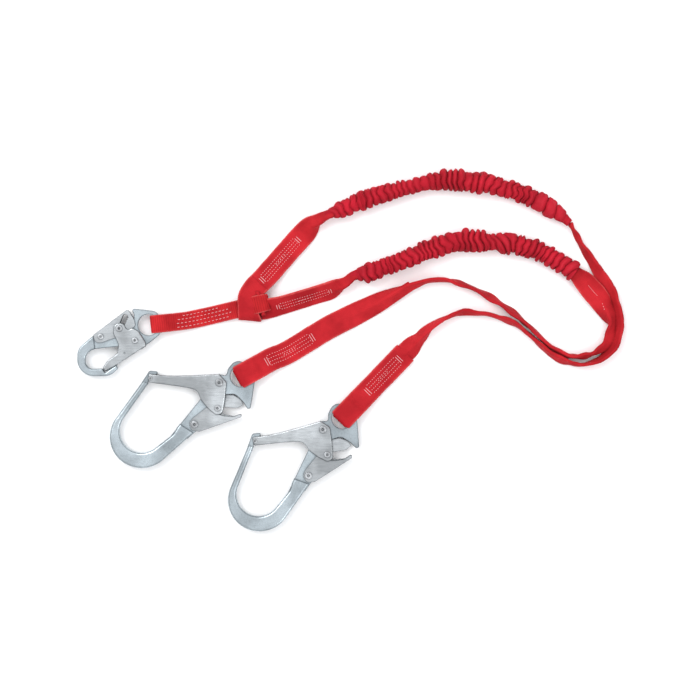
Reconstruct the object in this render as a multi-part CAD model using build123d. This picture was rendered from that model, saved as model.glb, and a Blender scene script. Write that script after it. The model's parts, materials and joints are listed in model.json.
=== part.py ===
from build123d import *
from math import pi, radians, tan
import os

# A twin-leg shock absorbing lanyard laid out flat on a surface, in millimetres.
# +Z is up and z = 0 is the surface. The origin is under the middle of the object
# without its two free webbing legs. Leg A ends in hook A, leg B in hook B, and a
# short tether joins both legs to the small snap hook.

# ---- driving dimensions: webbing ----
LEG_WIDTH = 35.0          # flat width of the tubular leg webbing
TETHER_WIDTH = 27.0       # flat width of the ribbed tether webbing
STRAP_THICK = 4.8         # two sewn layers
ROLLED_DIA = 10.0         # a leg where it is rolled on itself
COVER_DIA = 28.0          # outside of the gathered absorber cover
COVER_WALL = 4.5
CORE_DIA = 17.0           # folded tear webbing inside the cover
LOOP_LAYER = 2.0          # one layer of webbing where it passes through an eye
LOOP_GAP = 0.4            # between the webbing loop and the eye plate
HINGE_REACH = 36.0        # from an eye's centre to where the strap flexes
HINGE_GAP = 0.5
LOOP_BEVEL = 1.3          # off the loop's end corners, so that it folds over the strap

# ---- driving dimensions: hooks ----
EYE_RADIUS = 16.0
SHAFT_PLAY = 0.05         # radial running clearance of every rivet
HEAD_GAP = 0.1
FACE_GAP = 0.25           # between neighbouring sheets
THROUGH = 9.0             # half the depth of a cut that goes right through a hook
SNAP_SHEET = 1.8
REBAR_SHEET = 2.0
LEVER_SHEET = 1.4

# ---- where the hooks lie: gate pivot, mid-plane height and turn about Z ----
SNAP_PLACE = (-290.0, 15.0, 9.2, 0.0)
HOOK_A_PLACE = (-7.7, -118.8, 10.4, 0.0)
HOOK_B_PLACE = (-163.4, -48.6, 10.4, -13.4)
SNAP_EYE = (19.9, 23.4)
REBAR_EYE = (29.3, 16.9)
SNAP_STRAP_ANGLE = 6.0    # heading of the webbing as it leaves each eye
HOOK_A_STRAP_ANGLE = 46.0
HOOK_B_STRAP_ANGLE = 29.0

# ---- centre lines of the soft parts ----
COVER_A_ROUTE = [
    (-4, 203, 14), (26, 214, 14), (64, 230, 14), (109, 242, 14), (152, 253, 14),
    (199, 257, 14), (246, 249, 14), (292, 236, 14), (334, 217, 14), (363, 191, 14),
]
COVER_B_ROUTE = [
    (34, 111, 14), (60, 117, 14), (104, 131, 14), (152, 152, 14), (199, 165, 14),
    (249, 164, 14), (297, 157, 14), (339, 140, 14), (371, 117, 14),
]
WEB_A_ROUTE = [
    (363, 191, 14), (376, 169, 10), (394, 140, 6), (411, 110, 5), (431, 84, 5), (441, 45, 5),
    (436, 8, 5), (412, -13, 5), (379, -24, 5), (344, -16, 5), (309, 11, 5), (278, 40, 5),
    (240, 55, 5), (197, 58, 5), (162, 41, 5), (131, 12, 5), (108, -13, 5),
]
WEB_B_ROUTE = [
    (371, 117, 14), (390, 98, 10), (411, 74, 6), (427, 44, 5), (424, 12, 5), (404, -5, 5),
    (372, -11, 5), (340, 0, 5), (310, 29, 5), (280, 56, 5), (246, 79, 5), (210, 97, 5),
    (172, 108, 5), (138, 103, 5), (117, 93, 5),
]


# ---------------------------------------------------------------- shared helpers


def outline(corners):
    """A flat face from corners (x, y, radius)."""
    points = [(x, y) for x, y, _ in corners]
    radii = [radius for _, _, radius in corners]
    return make_face(FilletPolyline(*points, radius=radii, close=True))


def slab(face, low, high):
    """A flat face given thickness from height low to height high."""
    return Pos(0, 0, low) * extrude(face, high - low)


def disc(x, y, radius, low, high):
    return Pos(x, y, (low + high) / 2) * Cylinder(radius, high - low)


def both_sides(shape):
    """The shape and its mirror image below the hook's mid-plane."""
    return shape + mirror(shape, Plane.XY)


def rivet(x, y, shaft, head, reach, rise):
    """A rivet with a domed, dimpled head on each side; reach is where its heads start."""
    cap = disc(x, y, head, reach, reach + rise)
    cap = fillet(cap.edges().filter_by(GeomType.CIRCLE).group_by(Axis.Z)[-1], rise * 0.55)
    cap -= Pos(x, y, reach + rise) * Sphere(head * 0.36)
    return disc(x, y, shaft, -reach, reach) + both_sides(cap)


def spring_pocket(x, y, pocket):
    """The round recess in a hook's underside that a spring sits in."""
    radius, floor = pocket
    return disc(x, y, radius, -THROUGH, floor)


def coil_spring(x, y, low, radius, wire, turns, leg_angle, leg):
    """A torsion spring about the z axis through (x, y), with one straight leg at its foot."""
    pitch = wire * 2.3
    helix = Helix(pitch, pitch * turns, radius, lefthand=True)
    path = Pos(x, y, low + wire) * Rot(0, 0, leg_angle) * helix
    spring = sweep(Plane(path @ 0, z_dir=path % 0) * Circle(wire), path, is_frenet=True)
    if leg > 0:
        tangent = path % 0
        away = Vector(-tangent.X, -tangent.Y, 0).normalized()
        spring += Pos(path @ 0) * Sphere(wire) + extrude(Plane(path @ 0, z_dir=away) * Circle(wire), leg)
    return spring


def route_radii(points):
    """The arc at each inner point: 0.45 of the shorter run over the tangent of half the turn."""
    places = [Vector(*p) for p in points]
    radii = []
    for before, here, after in zip(places, places[1:], places[2:]):
        run_in = here - before
        run_out = after - here
        half_turn = radians(run_in.get_angle(run_out) / 2)
        radii.append(0.45 * min(run_in.length, run_out.length) / tan(half_turn))
    return radii


def route_path(points):
    return FilletPolyline(*points, radius=route_radii(points))


def tube_along(points, radius):
    path = route_path(points)
    return sweep(Plane(path @ 0, z_dir=path % 0) * Circle(radius), path)


def report_route(name, points, solid, radius):
    length = route_path(points).length
    wanted = pi * radius**2 * length
    smallest = min(route_radii(points))
    print(f"{name}: length {length:.1f}, smallest arc {smallest:.1f}, volume ratio {solid.volume / wanted:.4f}")


def strap(stations):
    """A webbing solid through stations (x, y, z, width, thickness, roll)."""
    places = [Vector(*s[:3]) for s in stations]
    sections = []
    for i, (place, station) in enumerate(zip(places, stations)):
        before = places[max(i - 1, 0)]
        after = places[min(i + 1, len(places) - 1)]
        heading = (after - before).normalized()
        across = Vector(0, 0, 1).cross(heading).normalized()
        across = across.rotate(Axis((0, 0, 0), heading), station[5])
        section = Rectangle(station[3], station[4])
        sections.append(Plane(place, x_dir=across, z_dir=heading) * section)
    return loft(sections, ruled=True)


# ---------------------------------------------------------------- webbing loops in the eyes


def eye_frame(place, eye, angle):
    """The frame at an eye's centre, with x along the strap that leaves it."""
    x, y, z, turn = place
    return Pos(x, y, z) * Rot(0, 0, turn) * Pos(eye[0], eye[1], 0) * Rot(0, 0, angle - turn)


def webbing_loop(plate_half, fold, width):
    """Webbing through an eye: over the plate, round a fold inside the hole and back under it."""
    inner = plate_half + LOOP_GAP
    outer = inner + LOOP_LAYER
    centre = fold + outer
    end = HINGE_REACH - STRAP_THICK / 2 - HINGE_GAP
    half = STRAP_THICK / 2
    side = Pos(centre, 0) * Circle(outer)
    tip = half - LOOP_BEVEL
    side += make_face(Polyline((centre, outer), (24, outer), (end - 3, half), (end - LOOP_BEVEL, half),
                               (end, tip), (end, -tip), (end - LOOP_BEVEL, -half), (end - 3, -half),
                               (24, -outer), (centre, -outer), close=True))
    hole = Pos(centre, 0) * Circle(inner)
    hole += make_face(Polyline((centre, inner), (23, inner), (30, 0), (23, -inner), (centre, -inner),
                               close=True))
    profile = Plane((0, width / 2, 0), x_dir=(1, 0, 0), z_dir=(0, -1, 0)) * (side - hole)
    return extrude(profile, width)


def strap_knuckle(frame, width):
    """The rounded strap end at the flex line beyond an eye."""
    return frame * Pos(HINGE_REACH, 0, 0) * Rot(90, 0, 0) * Cylinder(STRAP_THICK / 2, width)


def from_eye(frame, reach, drop):
    """A place on the strap's centre line, reach from the eye's centre and drop below it."""
    place = (frame * Pos(reach, 0, -drop)).position
    return (place.X, place.Y, place.Z)


# ---------------------------------------------------------------- rebar hook

REBAR_BOWL_HALF = 6.5
REBAR_PLATE_HALF = 4.0
REBAR_NOSE_HALF = 5.4
REBAR_LEVER_IN = REBAR_PLATE_HALF + FACE_GAP
REBAR_LEVER_OUT = REBAR_LEVER_IN + LEVER_SHEET
REBAR_GATE_IN = REBAR_LEVER_OUT + FACE_GAP
REBAR_GATE_OUT = REBAR_GATE_IN + REBAR_SHEET
REBAR_LEVER_PIVOT = (-21.6, -69.5)
REBAR_LATCH = (6.5, -37.8)
REBAR_TIP_PIN = (-101.8, -17.4)
REBAR_SHAFT = 4.0
REBAR_LEVER_SHAFT = 3.2
REBAR_GATE_POCKET = (6.6, 1.2)     # radius and floor height of the gate spring's pocket
REBAR_LEVER_POCKET = (5.4, 0.6)


def rebar_body():
    bowl = outline([
        (-112.3, -24.2, 0), (-166.3, -153.3, 47), (-70, -153.3, 47), (-20.2, -82.3, 0),
        (-43.6, -74, 0), (-46.4, -80, 6), (-50, -91.8, 10), (-81, -130.4, 32.93),
        (-145.6, -130.4, 32.93), (-103.6, -25.5, 0),
    ])
    bowl = slab(bowl, -REBAR_BOWL_HALF, REBAR_BOWL_HALF)
    long_edges = [e for e in bowl.edges() if abs(abs(e.center().Z) - REBAR_BOWL_HALF) < 0.01]
    open_ends = {(-108, -25), (-32, -78)}
    long_edges = [e for e in long_edges if not near_any(e.center(), open_ends)]
    bowl = fillet(long_edges, 3.8)
    nose = outline([
        (-113.1, -26.2, 0), (-108.6, -14, 3), (-106, -6.6, 3), (-94.5, -5.2, 1.6), (-93.4, -9, 1),
        (-100.4, -12.6, 2), (-104.3, -16, 2), (-104.4, -27.4, 0),
    ])
    nose = slab(nose, -REBAR_NOSE_HALF, REBAR_NOSE_HALF)
    plate = outline([
        (-53, -96, 0), (-12, -10, 14), (-9.6, 6, 7), (0, 13.5, 6), (7.5, 10.5, 4), (8, 24, 10),
        (15.5, 38.6, 14), (43, 38.6, 18), (50.8, 22, 12), (54.6, -27, 3), (50, -28.4, 2),
        (42, -20.5, 8), (27.3, -11, 12), (8, -17, 8), (0.3, -31, 12), (-1.2, -46, 20),
        (-13, -73.5, 20), (-27, -93, 0),
    ])
    plate = slab(plate, -REBAR_PLATE_HALF, REBAR_PLATE_HALF)
    rims = plate.edges().group_by(Axis.Z)[-1] + plate.edges().group_by(Axis.Z)[0]
    plate = chamfer([e for e in rims if e.center().X > 9 and e.center().Y > -15], 0.7)
    hook = bowl + nose + plate
    hook -= disc(*REBAR_EYE, EYE_RADIUS, -THROUGH, THROUGH)
    hook -= disc(0, 0, REBAR_SHAFT + SHAFT_PLAY, -THROUGH, THROUGH)
    hook -= spring_pocket(0, 0, REBAR_GATE_POCKET)
    lever_x, lever_y = REBAR_LEVER_PIVOT
    hook -= disc(lever_x, lever_y, REBAR_LEVER_SHAFT + SHAFT_PLAY, -THROUGH, THROUGH)
    hook -= spring_pocket(lever_x, lever_y, REBAR_LEVER_POCKET)
    return hook


def near_any(place, spots):
    return any(abs(place.X - x) < 3 and abs(place.Y - y) < 3 for x, y in spots)


def rebar_gate():
    """A folded channel: cheeks each side of the body, closed along its top and open below."""
    cheek = outline([
        (-106.6, -11.4, 2), (-79.9, -8, 60), (-64, -4.5, 60), (-39.1, 2.3, 60), (-3.5, 12.8, 3),
        (10.7, 3.5, 7), (13.8, -18, 20), (15.6, -43, 8), (8, -49.5, 8), (-8, -41.5, 12),
        (-20, -32.5, 12), (-29.5, -19.4, 10), (-41, -18.4, 20), (-66, -20.4, 60), (-103.4, -24.4, 3),
    ])
    gate = slab(cheek, -REBAR_GATE_OUT, REBAR_GATE_OUT)
    fold = [e for e in gate.edges() if along_rebar_spine(e.center())]
    gate = fillet(fold, 2.2)
    hollow = make_face(Polyline((-120, -13.6), (-79.7, -10), (-63.6, -6.5), (-38.6, 0.2), (-2, 10.8),
                                (30, 20), (30, -60), (-120, -60), close=True))
    gate -= slab(hollow, -REBAR_GATE_IN, REBAR_GATE_IN)
    gate -= Pos(-101, -10, 0) * Box(22, 20, 2 * REBAR_GATE_IN)
    gate -= Pos(9.5, 14, 0) * Box(28, 14, 2 * REBAR_GATE_IN)
    gate -= disc(0, 0, REBAR_SHAFT + SHAFT_PLAY, -THROUGH, THROUGH)
    gate -= disc(*REBAR_LATCH, 3.0, -THROUGH, THROUGH)
    gate -= disc(*REBAR_TIP_PIN, 1.8, -THROUGH, THROUGH)
    return gate


def along_rebar_spine(place):
    on_face = abs(abs(place.Z) - REBAR_GATE_OUT) < 0.01
    return on_face and -106 < place.X < -5 and place.Y > -12.5 + (place.X + 106) * 0.235


def rebar_lever():
    """The lock lever: a channel closed along its outer side, its lower cheek wider than its upper."""
    lever_x, lever_y = REBAR_LEVER_PIVOT
    rim = [(43.6, -43.0, 2), (-12, -78.6, 6), (-24, -79.5, 7), (-30.4, -70, 7), (-26.3, -60.4, 8),
           (-9.7, -40, 2)]
    upper = outline(rim + [(-1.6, -43.4, 2), (6.5, -46.6, 4), (20, -47, 8), (33, -44.6, 12), (44, -36.5, 2)])
    lower = outline(rim + [
        (-5, -31, 3), (10, -21, 3), (14.5, -15.2, 2), (25, -13.6, 6), (37, -17.5, 4), (42.6, -24.6, 2),
        (35, -31, 3), (16, -34.2, 2), (2, -33.8, 2), (2.6, -42.6, 3), (20, -45, 8), (33, -44, 10),
        (44, -36.5, 2),
    ])
    lever = slab(upper, REBAR_LEVER_IN, REBAR_LEVER_OUT)
    lever += slab(lower, -REBAR_LEVER_OUT, -REBAR_LEVER_IN)
    spine = outline([(43.6, -43.0, 0.4), (-8, -76, 0.4), (-8.8, -74.7, 0.4), (42.8, -41.7, 0.4)])
    lever += slab(spine, -REBAR_LEVER_OUT, REBAR_LEVER_OUT)
    lever -= disc(lever_x, lever_y, REBAR_LEVER_SHAFT + SHAFT_PLAY, -THROUGH, THROUGH)
    return lever


def rebar_hook(prefix):
    """The nine pieces of a large hook, in its own frame with the gate pivot at the origin."""
    lever_x, lever_y = REBAR_LEVER_PIVOT
    return {
        prefix + "_body": rebar_body(),
        prefix + "_gate": rebar_gate(),
        prefix + "_lock_lever": rebar_lever(),
        prefix + "_gate_rivet": rivet(0, 0, REBAR_SHAFT, 5.6, REBAR_GATE_OUT + HEAD_GAP, 2.1),
        prefix + "_lever_rivet": rivet(lever_x, lever_y, REBAR_LEVER_SHAFT, 5.4,
                                       REBAR_LEVER_OUT + HEAD_GAP, 2.1),
        prefix + "_latch_pin": rivet(*REBAR_LATCH, 3.0, 4.7, REBAR_GATE_OUT, 1.8),
        prefix + "_tip_pin": rivet(*REBAR_TIP_PIN, 1.8, 3.1, REBAR_GATE_OUT, 1.2),
        prefix + "_gate_spring": coil_spring(0, 0, -5.6, 5.4, 0.55, 4, 0, 0),
        prefix + "_lever_spring": coil_spring(lever_x, lever_y, -3.8, 4.3, 0.45, 3, 0, 0),
    }


# ---------------------------------------------------------------- snap hook

SNAP_BOWL_HALF = 5.0
SNAP_PLATE_HALF = 3.5
SNAP_LEVER_IN = SNAP_PLATE_HALF + FACE_GAP
SNAP_LEVER_OUT = SNAP_LEVER_IN + LEVER_SHEET
SNAP_GATE_IN = SNAP_LEVER_OUT + FACE_GAP
SNAP_GATE_OUT = SNAP_GATE_IN + SNAP_SHEET
SNAP_LEVER_PIVOT = (-51.6, 5.6)
SNAP_LATCH = (-23.7, 17.8)
SNAP_SHAFT = 3.2
SNAP_LEVER_SHAFT = 2.6
SNAP_GATE_POCKET = (5.6, 0.8)
SNAP_LEVER_POCKET = (4.4, 0.4)


def snap_body():
    bowl = outline([
        (-63, 7, 0), (-86.8, -12.5, 20), (-87.6, -54, 25), (-38, -54, 22), (-25.2, -42, 2.5),
        (-28.6, -36.6, 1), (-45.2, -48.6, 1), (-48.4, -42.4, 1.5), (-75, -43, 11.5), (-74.6, -18.6, 15),
        (-60.5, -13, 0),
    ])
    bowl = slab(bowl, -SNAP_BOWL_HALF, SNAP_BOWL_HALF)
    faces = [e for e in bowl.edges() if abs(abs(e.center().Z) - SNAP_BOWL_HALF) < 0.01]
    rounded = [e for e in faces if e.center().X < -50 or e.center().Y < -50]
    rounded = [e for e in rounded if not near_any(e.center(), {(-61.75, -3), (-46.8, -45.5)})]
    bowl = fillet(rounded, 2.5)
    plate = outline([
        (-68, -13.6, 0), (-25.7, -9.1, 30), (0, -10, 10), (12.5, -9.5, 4), (20, -4.5, 6), (36, 8, 8),
        (41, 24, 14), (33, 43.5, 12), (18, 45.5, 10), (-6, 48, 3), (-1.5, 38, 8), (-2.5, 24, 8),
        (-12, 14.5, 5), (-30, 9.5, 8), (-45, 13, 6), (-57, 10.5, 4), (-67, 3.5, 0),
    ])
    plate = slab(plate, -SNAP_PLATE_HALF, SNAP_PLATE_HALF)
    plate = chamfer(plate.edges().group_by(Axis.Z)[-1] + plate.edges().group_by(Axis.Z)[0], 0.6)
    hook = bowl + plate
    hook -= disc(*SNAP_EYE, EYE_RADIUS, -THROUGH, THROUGH)
    hook -= disc(0, 0, SNAP_SHAFT + SHAFT_PLAY, -THROUGH, THROUGH)
    hook -= spring_pocket(0, 0, SNAP_GATE_POCKET)
    lever_x, lever_y = SNAP_LEVER_PIVOT
    hook -= disc(lever_x, lever_y, SNAP_LEVER_SHAFT + SHAFT_PLAY, -THROUGH, THROUGH)
    hook -= spring_pocket(lever_x, lever_y, SNAP_LEVER_POCKET)
    return hook


def snap_gate():
    cheek = outline([
        (-48.2, -41.2, 1.5), (-41, -30, 12), (-26.5, -19.5, 5), (-24.6, -6, 14), (-32.6, 9.5, 6),
        (-31.5, 26, 7.2), (-16.4, 25.6, 7.2), (-12.5, 15.2, 5), (-3, 18.8, 4), (5.5, 13.5, 5),
        (15.8, -2.5, 5), (15.6, -8.8, 3), (-29.8, -38.3, 2), (-45.2, -46.8, 1.5),
    ])
    gate = slab(cheek, -SNAP_GATE_OUT, SNAP_GATE_OUT)
    gate = fillet([e for e in gate.edges() if along_snap_spine(e.center())], 1.9)
    hollow = make_face(Polyline((-60, -55), (-31.5, -36.9), (16.2, -6), (60, -6), (60, 60), (-60, 60),
                                close=True))
    gate -= slab(hollow, -SNAP_GATE_IN, SNAP_GATE_IN)
    gate -= Pos(-41, -44, 0) * Box(27, 20, 2 * SNAP_GATE_IN)
    gate -= Pos(15, -4, 0) * Box(16, 18, 2 * SNAP_GATE_IN)
    gate -= disc(0, 0, SNAP_SHAFT + SHAFT_PLAY, -THROUGH, THROUGH)
    gate -= disc(*SNAP_LATCH, 2.8, -THROUGH, THROUGH)
    dimple = Pos(-15.6, -18.9, SNAP_GATE_OUT + 0.5) * Sphere(1.5)
    return gate - dimple


def along_snap_spine(place):
    on_face = abs(abs(place.Z) - SNAP_GATE_OUT) < 0.01
    return on_face and -28 < place.X < 12 and place.Y < -17 + 0.65 * place.X


def snap_lever():
    cheek = outline([
        (-12.2, 46, 2), (-63, 7.8, 3), (-60.5, -3.6, 7), (-50, -3.4, 12), (-28, 4.5, 4), (-14, 8, 6),
        (-8, 15.5, 4), (0.8, 21.5, 5), (-1.2, 31, 10), (-8.6, 43.4, 3),
    ])
    window = outline([(-27.6, 16, 3), (-20.8, 12.4, 3), (-9.6, 36.2, 3), (-16.8, 40.6, 3)])
    lever = both_sides(slab(cheek - window, SNAP_LEVER_IN, SNAP_LEVER_OUT))
    spine = outline([(-13.4, 45.1, 0.3), (-57.6, 11.9, 0.3), (-56.8, 10.8, 0.3), (-12.6, 44, 0.3)])
    lever += slab(spine, -SNAP_LEVER_OUT, SNAP_LEVER_OUT)
    return lever - disc(*SNAP_LEVER_PIVOT, 2.6 + SHAFT_PLAY, -THROUGH, THROUGH)


def snap_hook():
    """The eight pieces of the small hook, in its own frame with the gate pivot at the origin."""
    lever_x, lever_y = SNAP_LEVER_PIVOT
    return {
        "snap_body": snap_body(),
        "snap_gate": snap_gate(),
        "snap_lock_lever": snap_lever(),
        "snap_gate_rivet": rivet(0, 0, SNAP_SHAFT, 4.6, SNAP_GATE_OUT + HEAD_GAP, 1.8),
        "snap_lever_rivet": rivet(lever_x, lever_y, SNAP_LEVER_SHAFT, 4.4, SNAP_LEVER_OUT + HEAD_GAP, 1.8),
        "snap_latch_pin": rivet(*SNAP_LATCH, 2.8, 4.9, SNAP_GATE_OUT, 1.6),
        "snap_gate_spring": coil_spring(0, 0, -4.9, 4.5, 0.45, 4, 300, 9),
        "snap_lever_spring": coil_spring(lever_x, lever_y, -3.3, 3.5, 0.38, 3, 0, 0),
    }


# ---------------------------------------------------------------- webbing


def tether(frame):
    """The ribbed tether, its loop in the snap hook's eye and the loop at its other end."""
    near = from_eye(frame, HINGE_REACH, 0)
    body = strap([
        (*near, TETHER_WIDTH, STRAP_THICK, 0), (-212, 46, 5.2, TETHER_WIDTH, STRAP_THICK, 0),
        (-168, 54.5, 4.2, TETHER_WIDTH, STRAP_THICK, 0), (-138, 61.5, 8.2, TETHER_WIDTH, STRAP_THICK, 0),
        (-116, 66.5, 10, TETHER_WIDTH, STRAP_THICK, 0),
    ])
    body += strap_knuckle(frame, TETHER_WIDTH)
    ring = SlotOverall(26, 19) - SlotOverall(20, 13)
    ring = Plane((-101.5, 70, 10.5), x_dir=(0.973, 0.23, 0), z_dir=(0.23, -0.973, 0)) * ring
    return {
        "tether_strap": body,
        "tether_hook_loop": frame * webbing_loop(SNAP_PLATE_HALF, 3.0, TETHER_WIDTH),
        "tether_end_loop": extrude(ring, TETHER_WIDTH / 2, both=True),
    }


def hitch():
    """Leg webbing round the tether and through its end loop, where the two legs part."""
    wrap = Box(17, 37, 17) - Pos(0, 0, -0.5) * Box(20, TETHER_WIDTH + 1, 9)
    wrap = fillet(wrap.edges().filter_by(Axis.X).group_by(Axis.Z)[-1], 4)
    wrap = Pos(-126, 63.8, 9.8) * Rot(0, -6, 13) * wrap
    bight = Plane((-101.5, 70, 10.5), x_dir=(1, 0, 0), z_dir=(0.23, -0.973, 0)) * Circle(5.6)
    return {"hitch_wrap": wrap, "hitch_bight": extrude(bight, 19, both=True)}


def leg_a(frame):
    near = from_eye(frame, HINGE_REACH, 0)
    rise = from_eye(frame, HINGE_REACH + 18, 3.4)
    start = strap([
        (-107, 98, 13, 34, 5.5, 0), (-93, 112, 8, LEG_WIDTH, STRAP_THICK, 0),
        (-42, 170, 4, LEG_WIDTH, STRAP_THICK, 0), (-22, 189, 7.8, 24, 7, 20), (-9, 199, 10, 11, 9, 40),
        (-4, 203, 14, 10, 10, 40),
    ])
    end = strap([
        (108, -13, 5, 18, 8, 0), (94, -27, 4, 30, 6, 0), (70, -51, 3, LEG_WIDTH, STRAP_THICK, 0),
        (*rise, LEG_WIDTH, STRAP_THICK, 0), (*near, LEG_WIDTH, STRAP_THICK, 0),
    ])
    return leg("leg_a", start, end, frame, COVER_A_ROUTE, WEB_A_ROUTE)


def leg_b(frame):
    near = from_eye(frame, HINGE_REACH, 0)
    rise = from_eye(frame, HINGE_REACH + 18, 3.4)
    start = strap([
        (-86, 62.6, 6, 30, 5.5, 8), (-70, 67.5, 6.3, 30, STRAP_THICK, 14), (-20, 83, 8, 26, STRAP_THICK, 25),
        (10, 93, 8, 22, STRAP_THICK, 30), (25, 101, 11, 12, 9, 40), (34, 111, 14, 10, 10, 40),
    ])
    end = strap([
        (117, 93, 5, 14, 9, 0), (93, 80, 4.5, 27, 6, 0), (69, 65, 3, 33, STRAP_THICK, 0),
        (-3, 32, 2.6, LEG_WIDTH, STRAP_THICK, 0), (-59, -2, 3, LEG_WIDTH, STRAP_THICK, 0),
        (*rise, LEG_WIDTH, STRAP_THICK, 0), (*near, LEG_WIDTH, STRAP_THICK, 0),
    ])
    return leg("leg_b", start, end, frame, COVER_B_ROUTE, WEB_B_ROUTE)


def leg(name, start, end, frame, cover_route, web_route):
    """One leg: sewn start, gathered cover over its core, rolled webbing, sewn end and hook loop."""
    cover = tube_along(cover_route, COVER_DIA / 2) - tube_along(cover_route, COVER_DIA / 2 - COVER_WALL)
    web = tube_along(web_route, ROLLED_DIA / 2)
    report_route(name + "_web", web_route, web, ROLLED_DIA / 2)
    return {
        name + "_start": start,
        name + "_cover": cover,
        name + "_core": tube_along(cover_route, CORE_DIA / 2),
        name + "_web": web,
        name + "_end": end + strap_knuckle(frame, LEG_WIDTH),
        name + "_hook_loop": frame * webbing_loop(REBAR_PLATE_HALF, -7.5, 27.5),
    }


# ---------------------------------------------------------------- assembly


def placed(place, pieces):
    x, y, z, turn = place
    return {name: Pos(x, y, z) * Rot(0, 0, turn) * shape for name, shape in pieces.items()}


def lanyard():
    snap_frame = eye_frame(SNAP_PLACE, SNAP_EYE, SNAP_STRAP_ANGLE)
    hook_a_frame = eye_frame(HOOK_A_PLACE, REBAR_EYE, HOOK_A_STRAP_ANGLE)
    hook_b_frame = eye_frame(HOOK_B_PLACE, REBAR_EYE, HOOK_B_STRAP_ANGLE)
    pieces = placed(SNAP_PLACE, snap_hook())
    pieces.update(placed(HOOK_A_PLACE, rebar_hook("hook_a")))
    pieces.update(placed(HOOK_B_PLACE, rebar_hook("hook_b")))
    pieces.update(tether(snap_frame))
    pieces.update(hitch())
    pieces.update(leg_a(hook_a_frame))
    pieces.update(leg_b(hook_b_frame))
    return pieces


os.makedirs("parts", exist_ok=True)
for node, shape in lanyard().items():
    export_step(shape, f"parts/{node}.step")
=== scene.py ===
"""A twin-leg shock absorbing lanyard, laid out flat and seen from above."""

import json
import math

import bmesh
import bpy
import numpy as np
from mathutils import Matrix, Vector, noise


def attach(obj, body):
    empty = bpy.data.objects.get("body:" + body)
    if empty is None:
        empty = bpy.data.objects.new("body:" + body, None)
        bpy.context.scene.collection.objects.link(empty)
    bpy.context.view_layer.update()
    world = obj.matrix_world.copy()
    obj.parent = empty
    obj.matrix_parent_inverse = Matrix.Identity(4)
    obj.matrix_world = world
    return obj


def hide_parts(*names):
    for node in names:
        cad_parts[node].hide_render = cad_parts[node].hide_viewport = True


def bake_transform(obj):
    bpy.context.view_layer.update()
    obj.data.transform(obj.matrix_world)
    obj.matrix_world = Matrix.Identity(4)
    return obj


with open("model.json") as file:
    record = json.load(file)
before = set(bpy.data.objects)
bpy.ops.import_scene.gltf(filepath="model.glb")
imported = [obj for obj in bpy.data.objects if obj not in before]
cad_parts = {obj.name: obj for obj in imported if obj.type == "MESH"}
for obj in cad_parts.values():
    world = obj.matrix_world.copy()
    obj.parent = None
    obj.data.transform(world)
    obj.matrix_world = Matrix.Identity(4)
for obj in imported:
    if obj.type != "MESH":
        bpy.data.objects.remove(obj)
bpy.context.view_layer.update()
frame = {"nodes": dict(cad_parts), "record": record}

MM = 0.001
FLOOR_GAP = 0.3 * MM       # how far the webbing stays above the floor
FOLD_RADIUS = 1.5 * MM     # of the crease in webbing that is folded along its middle
HINGE_REACH = 36 * MM      # from a hook's eye to where its strap flexes
SECTION_POINTS = 33        # across the webbing

# ---------------------------------------------------------------- camera, light and floor


def stage_scene():
    camera = bpy.data.cameras.new("camera")
    camera.lens = 102.2
    camera.sensor_width = 36
    holder = bpy.data.objects.new("camera", camera)
    holder.location = (0.033, 0.0005, 3.0)
    bpy.context.collection.objects.link(holder)
    bpy.context.scene.camera = holder
    bpy.context.scene.view_settings.view_transform = "Standard"

    floor = bpy.data.meshes.new("floor")
    floor.from_pydata([(-4, -4, 0), (4, -4, 0), (4, 4, 0), (-4, 4, 0)], [], [(0, 1, 2, 3)])
    paper = Shader("floor_paper", Roughness=0.9)
    grain = paper.noise(6, 3)
    paper.colour(paper.mix(grain, (0.97, 0.97, 0.97, 1), (1.0, 1.0, 1.0, 1)))
    floor.materials.append(paper.material)
    ground = bpy.data.objects.new("floor", floor)
    ground.location.z = -0.0004
    bpy.context.collection.objects.link(ground)

    for name, place, size, energy in (
        ("key_light", (-1.6, 1.7, 2.5), 2.2, 66),
        ("fill_light", (1.9, -1.3, 2.4), 2.2, 30),
    ):
        light = bpy.data.lights.new(name, "AREA")
        light.size = size
        light.energy = energy
        lamp = bpy.data.objects.new(name, light)
        lamp.location = place
        lamp.rotation_euler = Vector(place).to_track_quat("Z", "Y").to_euler()
        bpy.context.collection.objects.link(lamp)

    world = bpy.data.worlds.new("studio")
    bpy.context.scene.world = world
    world.use_nodes = True
    nodes, links = world.node_tree.nodes, world.node_tree.links
    direction = nodes.new("ShaderNodeTexCoord").outputs["Generated"]
    split = nodes.new("ShaderNodeSeparateXYZ")
    ramp = nodes.new("ShaderNodeValToRGB")
    ramp.color_ramp.elements[0].color = (0.02, 0.022, 0.025, 1)
    ramp.color_ramp.elements[0].position = 0.12
    ramp.color_ramp.elements[1].position = 0.62
    ramp.color_ramp.elements[1].color = (0.97, 0.98, 1.0, 1)
    links.new(direction, split.inputs[0])
    links.new(split.outputs["Z"], ramp.inputs[0])
    links.new(ramp.outputs[0], nodes["Background"].inputs[0])
    nodes["Background"].inputs[1].default_value = 1.15


# ---------------------------------------------------------------- materials


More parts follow.
